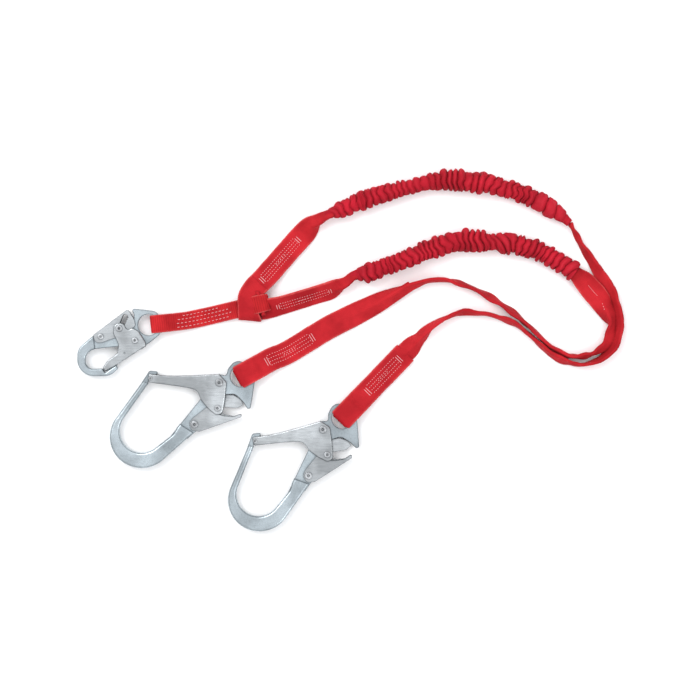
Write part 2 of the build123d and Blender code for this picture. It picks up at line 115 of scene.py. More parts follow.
class Shader:
    """A Principled material, with short ways to add the nodes that feed it."""

    def __init__(self, name, **sockets):
        self.material = bpy.data.materials.new(name)
        self.material.use_nodes = True
        self.tree = self.material.node_tree
        self.surface = self.tree.nodes["Principled BSDF"]
        for key, value in sockets.items():
            self.surface.inputs[key.replace("_", " ")].default_value = value

    def node(self, kind, inputs, **settings):
        made = self.tree.nodes.new(kind)
        for key, value in settings.items():
            setattr(made, key, value)
        for key, value in inputs.items():
            if isinstance(value, bpy.types.NodeSocket):
                self.tree.links.new(value, made.inputs[key])
            else:
                made.inputs[key].default_value = value
        return made

    def place(self, stretch=(1, 1, 1)):
        """Object coordinates in metres, stretched."""
        where = self.node("ShaderNodeTexCoord", {}).outputs["Object"]
        return self.node("ShaderNodeMapping", {"Vector": where, "Scale": stretch}).outputs[0]

    def noise(self, scale, detail, stretch=(1, 1, 1)):
        return self.node(
            "ShaderNodeTexNoise", {"Vector": self.place(stretch), "Scale": scale, "Detail": detail}
        ).outputs["Fac"]

    def bands(self, period, direction):
        """Bands across the webbing's own length or width, from 0 to 1."""
        where = self.node("ShaderNodeUVMap", {}, uv_map="weave").outputs[0]
        return self.node(
            "ShaderNodeTexWave",
            {"Vector": where, "Scale": math.pi / 10 / period, "Distortion": 0.0},
            bands_direction=direction,
        ).outputs["Fac"]

    def math(self, operation, a, b):
        return self.node("ShaderNodeMath", {0: a, 1: b}, operation=operation).outputs[0]

    def spread(self, value, low, high, to_low=0.0, to_high=1.0):
        """Value taken from one range to another."""
        return self.node(
            "ShaderNodeMapRange",
            {"Value": value, "From Min": low, "From Max": high, "To Min": to_low, "To Max": to_high},
        ).outputs["Result"]

    def mix(self, factor, a, b):
        made = self.node("ShaderNodeMix", {0: factor, 6: a, 7: b}, data_type="RGBA")
        return made.outputs[2]

    def openness(self, reach, **settings):
        """1 on an open face, less near a corner, or near an edge when inside is set."""
        made = self.node("ShaderNodeAmbientOcclusion", {"Distance": reach}, samples=8, **settings)
        return made.outputs["AO"]

    def attribute(self, name):
        return self.node("ShaderNodeAttribute", {}, attribute_name=name).outputs["Fac"]

    def colour(self, socket):
        self.tree.links.new(socket, self.surface.inputs["Base Color"])

    def roughness(self, socket):
        self.tree.links.new(socket, self.surface.inputs["Roughness"])

    def bump(self, height, strength, distance):
        made = self.node("ShaderNodeBump", {"Height": height, "Strength": strength, "Distance": distance})
        self.tree.links.new(made.outputs[0], self.surface.inputs["Normal"])


def webbing_material(name, base, deep, light, weft, warp, relief):
    """Woven polyester: weft ribs across, warp yarns along, uneven dye, a painted highlight in the light
    colour along edges and pleat crests, and painted shade in hollows.
    """
    cloth = Shader(name, Sheen_Weight=0.06, Sheen_Roughness=0.45, Sheen_Tint=(1, 0.4, 0.4, 1))
    cloth.surface.inputs["Specular IOR Level"].default_value = 0.12
    ribs = cloth.bands(weft, "X")
    yarns = cloth.bands(warp, "Y")
    fibre = cloth.noise(1400, 3)
    woven = cloth.math("MULTIPLY", cloth.math("ADD", ribs, yarns), 0.5)
    height = cloth.math("ADD", woven, cloth.math("MULTIPLY", fibre, 0.5))
    dye = cloth.spread(cloth.noise(30, 8), 0.34, 0.62)
    body = cloth.mix(cloth.spread(height, 0.2, 1.0, 0.35, 1.0), deep, base)
    uneven = cloth.mix(cloth.math("MULTIPLY", dye, 0.55), body, deep)
    # Painted highlight: the light colour along the webbing's edges, and on pleat crests in the covers,
    # broken up by noise.
    painted_highlight = cloth.spread(cloth.attribute("edge"), 0.84, 1.0, 0.0, 0.6)
    broken_painted_highlight = cloth.math("MULTIPLY", painted_highlight, cloth.spread(cloth.noise(160, 4), 0.3, 0.7, 0.3, 1.0))
    # Painted shade: the colour goes toward the deep colour where ambient occlusion finds hollows, folds and
    # straps touching.
    painted_hollow_shade = cloth.spread(cloth.openness(7 * MM), 0.25, 0.85, 0.8, 0.0)
    cloth.colour(cloth.mix(painted_hollow_shade, cloth.mix(broken_painted_highlight, uneven, light), deep))
    cloth.roughness(cloth.spread(fibre, 0.3, 0.7, 0.66, 0.86))
    cloth.bump(height, relief, 0.35 * MM)
    return cloth.material


def steel_material(name, base, dark, rough, spangle, brush, edge_shade_width):
    """Zinc plated steel: faint spangle, fine directional scratches, painted shade in corners and painted
    dark reflections along edges.
    """
    metal = Shader(name, Metallic=0.94)
    blotch = metal.noise(spangle, 4)
    grain = metal.noise(420, 5, brush)
    pits = metal.noise(1800, 2)
    tone = metal.mix(metal.spread(blotch, 0.38, 0.62), base, tuple(0.56 * c for c in base[:3]) + (1,))
    streaked = metal.mix(metal.spread(grain, 0.45, 0.8, 0.0, 0.35), tone, dark)
    # Painted shade: darker in corners found by ambient occlusion, and painted dark reflection lines along
    # convex edges.
    corner = metal.spread(metal.openness(4 * MM), 0.25, 0.95, 0.75, 0.0)
    edge = metal.spread(metal.openness(edge_shade_width, inside=True), 0.5, 0.93, 0.95, 0.0)
    painted_edge_and_corner_shade = metal.math("MAXIMUM", corner, edge)
    metal.colour(metal.mix(painted_edge_and_corner_shade, streaked, dark))
    metal.roughness(metal.spread(metal.math("ADD", blotch, grain), 0.7, 1.3, rough - 0.06, rough + 0.12))
    metal.bump(metal.math("ADD", grain, metal.math("MULTIPLY", pits, 0.6)), 0.18, 0.12 * MM)
    return metal.material


def thread_material():
    thread = Shader("stitch_thread", Roughness=0.7, Sheen_Weight=0.1)
    strands = thread.noise(2600, 2)
    thread.colour(thread.mix(strands, (0.62, 0.22, 0.24, 1), (0.86, 0.52, 0.52, 1)))
    thread.bump(strands, 0.4, 0.2 * MM)
    return thread.material


# ---------------------------------------------------------------- lines and profiles


def nurbs_line(points):
    """Close points on the smooth curve that has these control points."""
    curve = bpy.data.curves.new("route", "CURVE")
    curve.dimensions = "3D"
    curve.resolution_u = 20
    spline = curve.splines.new("NURBS")
    spline.points.add(len(points) - 1)
    for point, place in zip(spline.points, points):
        point.co = (*place, 1)
    spline.order_u = 3
    spline.use_endpoint_u = True
    carrier = bpy.data.objects.new("route", curve)
    mesh = bpy.data.meshes.new_from_object(carrier)
    line = np.array([v.co for v in mesh.vertices])
    bpy.data.objects.remove(carrier)
    bpy.data.meshes.remove(mesh)
    return line


def smooth_rows(stations, steps=14):
    """Rows on a smooth line through the stations, every column included."""
    rows = np.array(stations, float)
    before = np.vstack([2 * rows[0] - rows[1], rows[:-1]])
    after = np.vstack([rows[1:], 2 * rows[-1] - rows[-2]])
    slope = (after - before) / 2
    made = []
    for i in range(len(rows) - 1):
        for t in np.arange(steps) / steps:
            made.append(
                (2 * t**3 - 3 * t**2 + 1) * rows[i] + (t**3 - 2 * t**2 + t) * slope[i]
                + (3 * t**2 - 2 * t**3) * rows[i + 1] + (t**3 - t**2) * slope[i + 1]
            )
    return np.array(made + [rows[-1]])


def evenly(rows, step):
    """The same rows a step apart along x, y, z, and how far along each one is."""
    runs = np.linalg.norm(np.diff(rows[:, :3], axis=0), axis=1)
    along = np.concatenate([[0], np.cumsum(runs)])
    wanted = np.linspace(0, along[-1], max(3, round(along[-1] / step) + 1))
    columns = [np.interp(wanted, along, rows[:, k]) for k in range(rows.shape[1])]
    return np.column_stack(columns), wanted


def eased(along, keys):
    """Values that ease from key to key, where a key is (distance along, value)."""
    at, values = (np.array(column, float) for column in zip(*keys))
    slot = np.clip(np.searchsorted(at, along, side="right") - 1, 0, len(at) - 2)
    t = np.clip((along - at[slot]) / (at[slot + 1] - at[slot]), 0, 1)
    return values[slot] + (values[slot + 1] - values[slot]) * t * t * (3 - 2 * t)


def fade_ends(along, reach):
    """1 along the run, falling to 0 over this reach at both ends."""
    return np.clip(np.minimum(along, along[-1] - along) / reach, 0, 1)


def wander(along, period, seed):
    """Smooth uneven values from about -1 to 1."""
    return np.array([1.6 * noise.noise((a / period, seed * 7.3, 0.5)) for a in along])


def unit(rows):
    return rows / np.linalg.norm(rows, axis=-1, keepdims=True)


def axes_along(line, side=None):
    """Tangent, side and up at each point, with side to the left of the heading unless it is given."""
    tangent = unit(np.gradient(line, axis=0))
    if side is None:
        side = np.cross((0.0, 0.0, 1.0), tangent)
    side = np.broadcast_to(side, line.shape)
    side = unit(side - tangent * (side * tangent).sum(axis=1, keepdims=True))
    return side, np.cross(tangent, side)


# ---------------------------------------------------------------- meshes


def build(name, blocks, materials):
    """One smooth mesh piece from blocks of (points, faces, uv, edge), one for each material."""
    mesh = bpy.data.meshes.new(name)
    points, faces, numbers = [], [], []
    for number, block in enumerate(blocks):
        faces += [tuple(i + len(points) for i in face) for face in block[1]]
        numbers += [number] * len(block[1])
        points += block[0].tolist()
    mesh.from_pydata(points, [], faces)
    for material in materials:
        mesh.materials.append(material)
    mesh.polygons.foreach_set("material_index", numbers)
    mesh.polygons.foreach_set("use_smooth", [True] * len(faces))
    uv = np.concatenate([block[2] for block in blocks])
    corners = np.zeros(len(mesh.loops), int)
    mesh.loops.foreach_get("vertex_index", corners)
    mesh.uv_layers.new(name="weave").data.foreach_set("uv", uv[corners].ravel())
    edge = np.concatenate([block[3] for block in blocks]).astype(np.float32)
    mesh.attributes.new("edge", "FLOAT", "POINT").data.foreach_set("value", edge)
    work = bmesh.new()
    work.from_mesh(mesh)
    bmesh.ops.recalc_face_normals(work, faces=work.faces)
    work.to_mesh(mesh)
    work.free()
    piece = bpy.data.objects.new(name, mesh)
    bpy.context.collection.objects.link(piece)
    return piece


def ring_faces(rings, size):
    faces = []
    for i in range(rings - 1):
        for k in range(size):
            after = (k + 1) % size
            faces.append((i * size + k, i * size + after, (i + 1) * size + after, (i + 1) * size + k))
    return faces


def section(width, fold, offset):
    """The webbing's middle line across, fold uppermost: x, y, direction and t from -1 to 1."""
    t = np.sin(np.linspace(-1, 1, SECTION_POINTS) * math.pi / 2)
    half = fold[:, None] / 2
    from_fold = (t[None, :] - offset[:, None]) * width[:, None] / 2
    angle = np.clip(from_fold / FOLD_RADIUS, -half, half)
    straight = np.maximum(np.abs(from_fold) - FOLD_RADIUS * half, 0)
    x = FOLD_RADIUS * np.sin(angle) + np.sign(from_fold) * straight * np.cos(half)
    y = FOLD_RADIUS * (1 - np.cos(angle)) + straight * np.sin(half)
    x -= (x.max(axis=1, keepdims=True) + x.min(axis=1, keepdims=True)) / 2
    y -= (y.max(axis=1, keepdims=True) + y.min(axis=1, keepdims=True)) / 2
    return x, -y, -angle, t


class Ribbon:
    """Webbing swept along a line.

    Width, thickness, roll, fold and offset are each one number, or one for every point.
    """

    def __init__(self, line, along, width, thick, roll=0.0, fold=0.0, offset=0.0, side=None, relief=None):
        self.line, self.along = line.copy(), along
        width, thick, roll, fold, offset = (
            np.broadcast_to(np.asarray(value, float), along.shape)
            for value in (width, thick, roll, fold, offset)
        )
        self.width, self.thick, self.roll = width, thick, roll
        self.side, self.up = axes_along(line, side)
        x, y, angle, t = section(width, fold, offset)
        rim = np.sqrt(1 - t**12)
        high = thick[:, None] / 2 * rim
        self.ridge = y[:, SECTION_POINTS // 2]
        if relief is not None:
            ribs = relief(along[:, None], t[None, :] * width[:, None] / 2)
            high = high + ribs * rim
            self.ridge = self.ridge + ribs.max()
        high[[0, -1]] *= 0.55
        top = (x - high * np.sin(angle), y + high * np.cos(angle))
        low = (x + high * np.sin(angle), y - high * np.cos(angle))
        across, above = (np.concatenate([a, b[:, -2:0:-1]], axis=1) for a, b in zip(top, low))
        turn, lean = np.cos(roll)[:, None], np.sin(roll)[:, None]
        across, above = across * turn - above * lean, across * lean + above * turn
        points = (
            self.line[:, None, :] + across[..., None] * self.side[:, None, :]
            + above[..., None] * self.up[:, None, :]
        )
        lift = np.maximum(FLOOR_GAP - points[..., 2].min(axis=1), 0)
        points[..., 2] += lift[:, None]
        self.line[:, 2] += lift
        self.points = points
        self.t = np.concatenate([t, t[-2:0:-1]])

    def block(self):
        rings, size = self.points.shape[:2]
        faces = ring_faces(rings, size)
        under = lambda k: k if k in (0, SECTION_POINTS - 1) else size - k
        for start in (0, (rings - 1) * size):
            for k in range(SECTION_POINTS - 1):
                cap = dict.fromkeys((k, k + 1, under(k + 1), under(k)))
                faces.append(tuple(start + i for i in cap))
        t = np.broadcast_to(self.t, (rings, size))
        across = t * self.width[:, None] / 2
        uv = np.stack([np.broadcast_to(self.along[:, None], (rings, size)), across], axis=-1)
        return self.points.reshape(-1, 3), faces, uv.reshape(-1, 2), np.abs(t).ravel()

    def surface(self, s, v):
        """The place on the upper face at s along and v across, and the face's normal there."""
        at = [np.interp(s, self.along, self.line[:, k]) for k in range(3)]
        side = unit(np.array([np.interp(s, self.along, self.side[:, k]) for k in range(3)]))
        up = unit(np.array([np.interp(s, self.along, self.up[:, k]) for k in range(3)]))
        roll = np.interp(s, self.along, self.roll)
        across = math.cos(roll) * side + math.sin(roll) * up
        normal = math.cos(roll) * up - math.sin(roll) * side
        height = np.interp(s, self.along, self.thick / 2 + self.ridge)
        return np.array(at) + across * v + normal * height, normal


THREAD_RADIUS = 0.46 * MM
THREAD_SIDES = 6


def stitch_block(ribbon, seams):
    """Raised threads on a ribbon's upper face, each from (s, v) to (s, v)."""
    points, faces = [], []
    for start, end in seams:
        (s0, v0), (s1, v1) = start, end
        count = max(4, 2 + int(math.dist(start, end) / (3 * MM)))
        places = [ribbon.surface(s0 + (s1 - s0) * f, v0 + (v1 - v0) * f) for f in np.linspace(0, 1, count)]
        heading = unit(places[-1][0] - places[0][0])
        first = len(points)
        for i, (place, normal) in enumerate(places):
            across = np.cross(heading, normal)
            end_ring = i in (0, count - 1)
            radius = THREAD_RADIUS * (0.45 if end_ring else 1.0)
            centre = place + normal * (-0.35 * MM if end_ring else 0.02 * MM)
            for k in range(THREAD_SIDES):
                angle = 2 * math.pi * k / THREAD_SIDES
                points.append(centre + radius * (math.cos(angle) * across + 0.8 * math.sin(angle) * normal))
        faces += [tuple(first + i for i in face) for face in ring_faces(count, THREAD_SIDES)]
        faces.append(tuple(range(first, first + THREAD_SIDES)))
        faces.append(tuple(range(len(points) - THREAD_SIDES, len(points))))
    return np.array(points), faces, np.zeros((len(points), 2)), np.zeros(len(points))


def dashes(start, end, dash=2.3 * MM, gap=1.7 * MM):
    """Short stitches in line from start to end."""
    start, end = np.array(start), np.array(end)
    length = np.linalg.norm(end - start)
    step = (end - start) / length
    at = np.arange(0, length - dash * 0.6, dash + gap)
    return [(tuple(start + step * a), tuple(start + step * min(a + dash, length))) for a in at]


def bar_tack_box(s0, s1, half, rows=4):
    """A sewn box: a double bar at each end, rows of dashes between, and a few slanted stitches midway."""
    inset = 3.6 * MM
    seams = []
    for end, inward in ((s0, 1), (s1, -1)):
        seams += [((bar, -half), (bar, half)) for bar in (end, end + inward * inset)]
    for v in np.linspace(-half, half, rows):
        seams += dashes((s0 + inset + 2.0 * MM, v), (s1 - inset - 1.2 * MM, v), 2.2 * MM, 1.6 * MM)
    for s in (s0 + s1) / 2 + np.arange(-9, 10, 4.5) * MM:
        seams.append(((s, -1.0 * MM), (s + 2.2 * MM, 1.0 * MM)))
    return seams


# ---------------------------------------------------------------- the two free legs


WEB_A_ROUTE = [
    (0.363, 0.191, 0.014), (0.376, 0.169, 0.010), (0.394, 0.140, 0.006), (0.411, 0.110, 0.005),
    (0.430, 0.084, 0.005), (0.439, 0.045, 0.005), (0.435, 0.008, 0.005), (0.412, -0.013, 0.005),
    (0.379, -0.024, 0.005), (0.345, -0.013, 0.005), (0.312, 0.016, 0.005), (0.281, 0.044, 0.005),
    (0.240, 0.055, 0.005), (0.197, 0.058, 0.005), (0.162, 0.041, 0.005), (0.131, 0.012, 0.005),
    (0.108, -0.013, 0.005),
]
WEB_B_ROUTE = [
    (0.371, 0.117, 0.014), (0.390, 0.098, 0.010), (0.411, 0.074, 0.006), (0.427, 0.044, 0.005),
    (0.424, 0.012, 0.005), (0.404, -0.005, 0.005), (0.372, -0.011, 0.005), (0.340, 0.000, 0.005),
    (0.310, 0.029, 0.005), (0.280, 0.056, 0.005), (0.246, 0.079, 0.005), (0.210, 0.097, 0.005),
    (0.172, 0.108, 0.005), (0.138, 0.103, 0.005), (0.117, 0.093, 0.005),
]
CORD_STEP = 2.0 * MM
WEB_THICK = 2.2 * MM

# Distance along in mm, and degrees of roll or fold, or mm of width or height there.
WEB_A_ROLL = [
    (0, -46), (10, -6), (22, -44), (36, -10), (60, -34), (92, -64), (120, -46), (140, -24), (164, -36),
    (196, -34), (232, -22), (262, -8), (276, 10), (300, 30), (330, 10), (352, -14), (395, 16), (418, -4),
    (440, 3), (460, 28), (478, 2), (515, -16), (545, -4), (600, 0),
]
WEB_A_FOLD = [(0, 176), (505, 172), (538, 118), (566, 44), (592, 0)]
WEB_A_WIDTH = [(0, 20), (20, 22), (50, 32), (90, 35), (440, 34), (550, 33), (600, 33)]
WEB_A_RISE = [(0, 0), (600, 0)]
WEB_B_ROLL = [
    (0, -14), (30, -14), (60, -4), (88, 8), (118, 62), (140, 40), (156, 8), (166, 30), (184, 2), (204, 20),
    (224, 4), (256, -20), (276, -4), (298, -22), (318, -2), (338, -30), (362, -8), (390, -18), (416, 2),
    (445, 14), (478, 34),
]
WEB_B_FOLD = [(0, 50), (16, 8), (34, 10), (56, 34), (80, 88), (108, 168), (430, 174), (478, 150)]
WEB_B_WIDTH = [(0, 25), (26, 35), (60, 35), (90, 34), (130, 34), (478, 34)]
WEB_B_RISE = [(0, 0), (30, 2.0), (66, 6.0), (92, 4.5), (120, 1.0), (140, 0), (480, 0)]


def free_leg(name, node, route, roll, fold, width, rise, seed, seams):
    """A leg's free webbing, folded along its middle, standing on edge and turning as it runs."""
    rows, along = evenly(nurbs_line(route), CORD_STEP)
    rows[:, 2] += eased(along / MM, rise) * MM
    turn = np.radians(eased(along / MM, roll) + 9 * wander(along, 22 * MM, seed))
    close = np.radians(np.clip(eased(along / MM, fold) + 4 * wander(along, 50 * MM, seed + 1), 0, 178))
    offset = 0.16 * wander(along, 32 * MM, seed + 2)
    sway = fade_ends(along, 25 * MM) * wander(along, 24 * MM, seed + 3)
    rows = rows + axes_along(rows)[0] * (1.1 * MM * sway)[:, None]
    ribbon = Ribbon(rows, along, eased(along / MM, width) * MM, WEB_THICK, turn, close, offset)
    blocks = [ribbon.block()]
    if seams:
        blocks.append(stitch_block(ribbon, seams))
    piece = build(name, blocks, [LEG_RED, THREAD][: len(blocks)])
    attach(piece, "webbing")
    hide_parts(node)


# ---------------------------------------------------------------- straps


def strap(name, stations, cloth, thread, body, nodes, seams=(), side=False, relief=None,
          thick=4.4, bend=None, seed=1, step=1.6):
    """A flat run of webbing.

    A station is x, y, z and width in mm, roll and fold in degrees, and its side when side is set.
    """
    rows, along = evenly(smooth_rows(stations), step)
    rows[:, :4] *= MM
    along = along * MM
    line = rows[:, :3]
    line[:, 2] += 0.5 * MM * wander(along, 38 * MM, seed) * fade_ends(along, 12 * MM)
    width = rows[:, 3] * (1 + 0.012 * wander(along, 17 * MM, seed + 3))
    sides = None
    if side:
        sides = np.column_stack([rows[:, 6], rows[:, 7], np.zeros(len(rows))])
    ribbon = Ribbon(line, along, width, thick * MM, np.radians(rows[:, 4]), np.radians(rows[:, 5]),
                    side=sides, relief=relief)
    blocks = [ribbon.block()]
    seams = seams(along[-1]) if callable(seams) else seams
    if seams:
        blocks.append(stitch_block(ribbon, seams))
    piece = build(name, blocks, [cloth, thread][: len(blocks)])
    if bend is None:
        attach(piece, body)
    else:
        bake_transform(piece)
    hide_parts(*nodes)
    return piece


def cross_ribs(period, height):
    """The thick weft ribs of ribbed webbing, fading towards its edges."""
    return lambda s, v: height * (0.5 - 0.5 * np.cos(2 * math.pi * s / period)) * np.ones_like(v)


class Flex:
    """Where a strap flexes beside a hook: the line's place, its heading away from the eye and the eye."""

    def __init__(self, joint):
        facts = next(j for j in frame["record"]["behaviour"]["joints"] if j["name"] == joint)
        self.place = np.array(facts["pos_m"], float)
        axis = facts["axis"]
        self.heading = np.array((axis[1], -axis[0], 0.0))
        self.lateral = np.array((axis[0], axis[1], 0.0))
        self.eye = self.place - self.heading * HINGE_REACH

    def beyond(self, reach, drop=0.0):
        """A place in mm, that far beyond the flex line and that far below it."""
        return tuple((self.place + self.heading * reach * MM) / MM - np.array((0, 0, drop)))

    def bend(self, body):
        """The hook's loop body and two places beside the flex line, for a strap that follows the hook's
        loop past it; strap() reads only whether this is given.
        """
        return body, tuple(self.place + self.heading * 12 * MM), tuple(self.place - self.heading * 3 * MM)


def eye_loop(name, flex, plate_half, fold, wide, narrow, cloth, body, node, relief=None):
    """Webbing over an eye plate, round inside the hole and back underneath."""
    layer = plate_half + 1.45
    centre = fold + plate_half + 2.4
    over = [(36.5, 1.2), (33, 1.5), (29, 3.1), (24, layer), (16, layer + 0.2), (8, layer + 0.1)]
    arc = [(centre - layer * math.sin(a), layer * math.cos(a)) for a in np.linspace(0, math.pi, 11)]
    path = [p for p in over if p[0] > centre + 2] + arc
    path += [(x, -z) for x, z in reversed(over) if x > centre + 2]
    rows = []
    for x, z in path:
        place = flex.eye + flex.heading * x * MM + np.array((0, 0, z * MM))
        share = np.clip((abs(z) - plate_half) / 0.5, 0, 1) if x < 20 else 1.0
        rows.append((*place, (narrow + (wide - narrow) * share) * MM))
    rows, along = evenly(smooth_rows(rows, 6), 0.8 * MM)
    ribbon = Ribbon(rows[:, :3], along, rows[:, 3], 2.0 * MM, side=-flex.lateral, relief=relief)
    piece = build(name, [ribbon.block()], [cloth])
    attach(piece, body)
    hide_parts(node)
    return piece


# ---------------------------------------------------------------- gathered covers


COVER_A_ROUTE = [
    (-0.004, 0.203, 0.014), (0.026, 0.214, 0.014), (0.064, 0.230, 0.014), (0.109, 0.242, 0.014),
    (0.152, 0.253, 0.014), (0.199, 0.257, 0.014), (0.246, 0.249, 0.014), (0.292, 0.236, 0.014),
    (0.334, 0.217, 0.014), (0.363, 0.191, 0.014),
]
COVER_B_ROUTE = [
    (0.034, 0.111, 0.014), (0.060, 0.117, 0.014), (0.104, 0.131, 0.014), (0.152, 0.152, 0.014),
    (0.199, 0.165, 0.014), (0.249, 0.164, 0.014), (0.297, 0.157, 0.014), (0.339, 0.140, 0.014),
    (0.371, 0.117, 0.014),
]
COVER_SIDES = 88
COVER_STEP = 0.75 * MM
PLEAT_SINK = 5.2           # mm, from a cover's radius down to the bottom of its creases
PLEAT_HEIGHT = (4.1, 7.7)  # mm, least and greatest
PLEAT_LEAN = 3.6           # mm, how much taller one side of a pleat may be than the other
WRINKLE = 0.5              # mm

# Distance along in mm, and mm of radius, mm from pleat to pleat, or pleats of slant across the cover.
COVER_A_RADIUS = [
    (0, 5), (10, 8), (26, 12.8), (100, 13), (132, 11.6), (150, 10.2), (162, 11.4), (172, 14), (215, 15),
    (250, 15), (262, 13.2), (330, 13.6), (352, 13), (372, 10.4), (386, 6.2), (405, 4.2),
]
COVER_A_PITCH = [(0, 11), (322, 9), (332, 19), (372, 22), (388, 9)]
COVER_A_SKEW = [(0, 0.5), (180, -0.2), (318, -0.4), (345, 0.3), (370, 0.5), (400, 0.2)]
COVER_B_RADIUS = [
    (0, 5), (8, 7.6), (15, 10), (25, 13.2), (70, 13), (120, 13.8), (165, 15.2), (205, 15), (228, 12.2),
    (240, 14), (300, 14.4), (335, 13.4), (350, 14.6), (361, 13.6), (368, 11),
]
COVER_B_PITCH = [(0, 11), (60, 9.5), (222, 9), (238, 16), (254, 9), (330, 9.5), (352, 15), (368, 13)]
COVER_B_SKEW = [
    (0, 1.1), (60, 0.5), (180, 0.1), (215, 0.2), (240, 1.3), (262, 0.1), (300, -0.5), (364, -0.5),
]


def scatter(index, salt):
    """A fixed number from 0 to 1 for each pleat."""
    return np.mod(np.sin(index * 12.9898 + salt * 78.233) * 43758.5453, 1.0)


def gathered_cover(name, route, seed, radius, pitch, skew, cloth, nodes):
    """A fabric sleeve pushed up into uneven pleats round its core."""
    line, along = evenly(nurbs_line(route), COVER_STEP)
    side, up = axes_along(line)
    spacing = eased(along / MM, pitch) * (1 + 0.34 * wander(along, 19 * MM, seed))
    count = np.concatenate([[0], np.cumsum(COVER_STEP / MM / spacing[:-1])])
    calm = 0.8 * np.clip(12 / eased(along / MM, pitch) - 0.6, 0.15, 1)
    theta = np.linspace(0, 2 * math.pi, COVER_SIDES, endpoint=False)
    cos, sin = np.cos(theta), np.sin(theta)
    slant = eased(along / MM, skew) + 0.75 * wander(along, 42 * MM, seed + 1)
    warp = np.array([
        [noise.noise((a / (30 * MM), 1.1 * c, 1.1 * s + seed)) for c, s in zip(cos, sin)] for a in along
    ])
    phase = count[:, None] + slant[:, None] * cos[None, :] * 0.5 + calm[:, None] * warp
    pleat, within = np.floor(phase), np.mod(phase, 1.0)
    square = 2 + 0.3 * np.clip(eased(along / MM, pitch) - 10, 0, 12)[:, None]
    puff = np.sqrt(np.clip(1 - np.abs(2 * within - 1) ** square, 0, 1)) ** 1.1
    turn = np.abs(np.mod(theta[None, :] - 2 * math.pi * scatter(pleat, 4) + math.pi, 2 * math.pi) - math.pi)
    crease = (
        0.55 * scatter(pleat, 3)
        * np.exp(-((turn / 1.1) ** 2)) * np.exp(-(((within - 0.5) / 0.13) ** 2))
    )
    puff = puff * (1 - crease)
    tall = PLEAT_HEIGHT[0] + (PLEAT_HEIGHT[1] - PLEAT_HEIGHT[0]) * scatter(pleat, 1)
    lean = PLEAT_LEAN * (scatter(pleat, 2) - 0.5) * cos[None, :]
    base = eased(along / MM, radius)[:, None]
    base = base * (1 + 0.05 * wander(along, 26 * MM, seed + 5))[:, None]
    share = np.clip((base - 5) / 9, 0.15, 1)
    fine = np.array([
        [noise.noise((a / (3.5 * MM), 2.2 * c, 2.2 * s - seed)) for c, s in zip(cos, sin)] for a in along
    ])
    out = (base + share * ((tall + lean) * puff + WRINKLE * fine - PLEAT_SINK)) * MM
    points = (
        line[:, None, :] + (1.05 * out * cos[None, :])[..., None] * side[:, None, :]
        + (0.96 * out * sin[None, :])[..., None] * up[:, None, :]
    )
    points[..., 2] = np.maximum(points[..., 2], FLOOR_GAP)
    rings, size = points.shape[:2]
    faces = ring_faces(rings, size)
    ends = np.array([line[0], line[-1]])
    last = rings * size
    for k in range(size):
        faces.append((k, (k + 1) % size, last))
        faces.append(((rings - 1) * size + k, (rings - 1) * size + (k + 1) % size, last + 1))
    uv = np.stack([
        np.broadcast_to(1.5 * along[:, None], (rings, size)),
        np.broadcast_to(theta[None, :] * 14 * MM, (rings, size)),
    ], axis=-1).reshape(-1, 2)
    uv = np.vstack([uv, np.zeros((2, 2))])
    # The pleats' puff goes into the edge attribute, where the webbing material paints a highlight on the
    # pleat crests.
    edge = np.concatenate([(puff * 0.9).ravel(), [0, 0]])
    piece = build(name, [(np.vstack([points.reshape(-1, 3), ends]), faces, uv, edge)], [cloth])
    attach(piece, "webbing")
    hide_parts(*nodes)
    return piece


def packed_core(name, route, cloth, node):
    """The tear webbing inside a cover, folded to and fro on itself."""
    line, along = evenly(nurbs_line(route), 3 * MM)
    inner = slice(3, -3)
    folds = lambda s, v: 0.35 * MM * np.cos(2 * math.pi * v / (4 * MM)) * np.ones_like(s)
    ribbon = Ribbon(line[inner], along[inner], 13.5 * MM, 9 * MM, relief=folds)
    piece = build(name, [ribbon.block()], [cloth])
    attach(piece, "webbing")
    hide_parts(node)
    return piece


# ---------------------------------------------------------------- the model


stage_scene()

THREAD = thread_material()
LEG_RED = webbing_material(
    "leg_webbing_red", (0.58, 0.020, 0.028, 1), (0.24, 0.004, 0.008, 1), (0.78, 0.16, 0.15, 1),
    1.5 * MM, 1.1 * MM, 0.45,
)
TETHER_RED = webbing_material(
    "tether_webbing_red", (0.60, 0.022, 0.026, 1), (0.20, 0.003, 0.006, 1), (0.80, 0.18, 0.17, 1),
    3.2 * MM, 1.3 * MM, 0.6,
)
COVER_RED = webbing_material(
    "cover_webbing_red", (0.58, 0.014, 0.032, 1), (0.20, 0.003, 0.008, 1), (0.66, 0.045, 0.07, 1),
    1.2 * MM, 1.0 * MM, 0.35,
)
CORE_RED = webbing_material(
    "core_webbing_red", (0.45, 0.014, 0.022, 1), (0.26, 0.006, 0.012, 1), (0.60, 0.08, 0.08, 1),
    2.0 * MM, 1.4 * MM, 0.5,
)

# Each leg's free webbing, from its cover to its sewn end. Leg B's starts as a flat sewn panel.
free_leg(
    "leg_a_free_webbing", "leg_a_web", WEB_A_ROUTE, WEB_A_ROLL, WEB_A_FOLD, WEB_A_WIDTH, WEB_A_RISE,
    1.0, [],
)
PANEL_SEAMS = dashes((0.028, 0.0), (0.050, 0.0), 1.6 * MM, 0.6 * MM)
PANEL_SEAMS += dashes((0.062, -0.001), (0.072, -0.003))
free_leg(
    "leg_b_free_webbing", "leg_b_web", WEB_B_ROUTE, WEB_B_ROLL, WEB_B_FOLD, WEB_B_WIDTH, WEB_B_RISE,
    2.0, PANEL_SEAMS,
)

